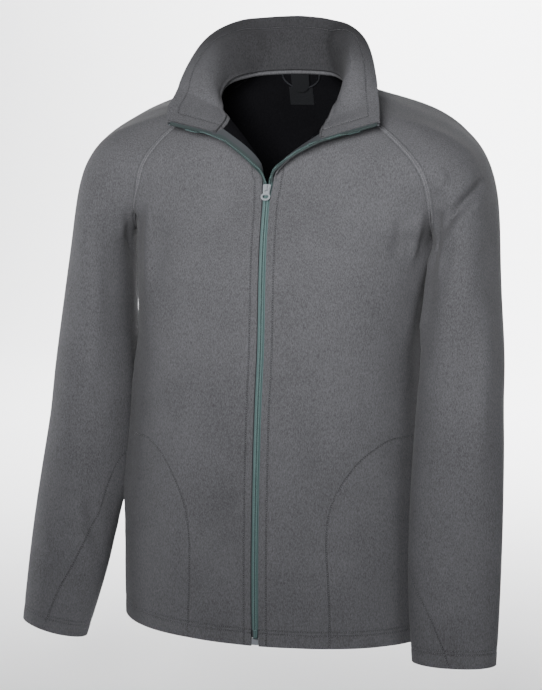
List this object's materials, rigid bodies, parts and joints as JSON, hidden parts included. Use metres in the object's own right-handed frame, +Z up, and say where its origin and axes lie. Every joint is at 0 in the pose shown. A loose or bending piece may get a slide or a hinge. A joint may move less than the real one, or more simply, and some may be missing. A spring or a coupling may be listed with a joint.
{
  "type": "fleece zip jacket",
  "caption": "Long-sleeved fleece jacket with raglan sleeves, a stand-up collar and a full-length front zip, open at the neck, in the hollow form of a worn garment.",
  "frame": {"origin": "middle of the neck at its base, between the wearer's shoulders, which hold the jacket up", "axes": "+X to the wearer's left, -Y to the front of the jacket, +Z up"},
  "size_m": [0.6847, 0.2822, 0.8601],
  "materials": {
    "fleece": "grey brushed fleece",
    "pocket_cloth": "plain knit",
    "zip_tape": "woven tape with a plastic coil",
    "zip_metal": "satin",
    "cord": "twisted cord",
    "label_cloth": "woven satin"
  },
  "bodies": {
    "jacket": {"front_left": "fleece", "front_right": "fleece", "back": "fleece", "sleeve_left": "fleece", "sleeve_right": "fleece", "collar_outer": "fleece", "collar_facing": "fleece", "pocket_bag_left": "pocket_cloth", "pocket_bag_right": "pocket_cloth", "zip_tape_left": "zip_tape", "zip_tape_right": "zip_tape", "zip_slider": "zip_metal", "zip_box": "zip_metal", "zip_stop_left": "zip_metal", "zip_stop_right": "zip_metal", "hanger_loop": "cord", "neck_label": "label_cloth", "size_tab": "label_cloth"},
    "pull_tab": {"zip_pull_tab": "zip_metal"}
  },
  "joints": [
    {"name": "pull_tab_swing", "type": "hinge", "parent": "jacket", "child": "pull_tab", "pos_m": [0.0004, -0.09889, -0.12808], "axis": [-1, 0, 0], "range_deg": [0, 150]}
  ]
}
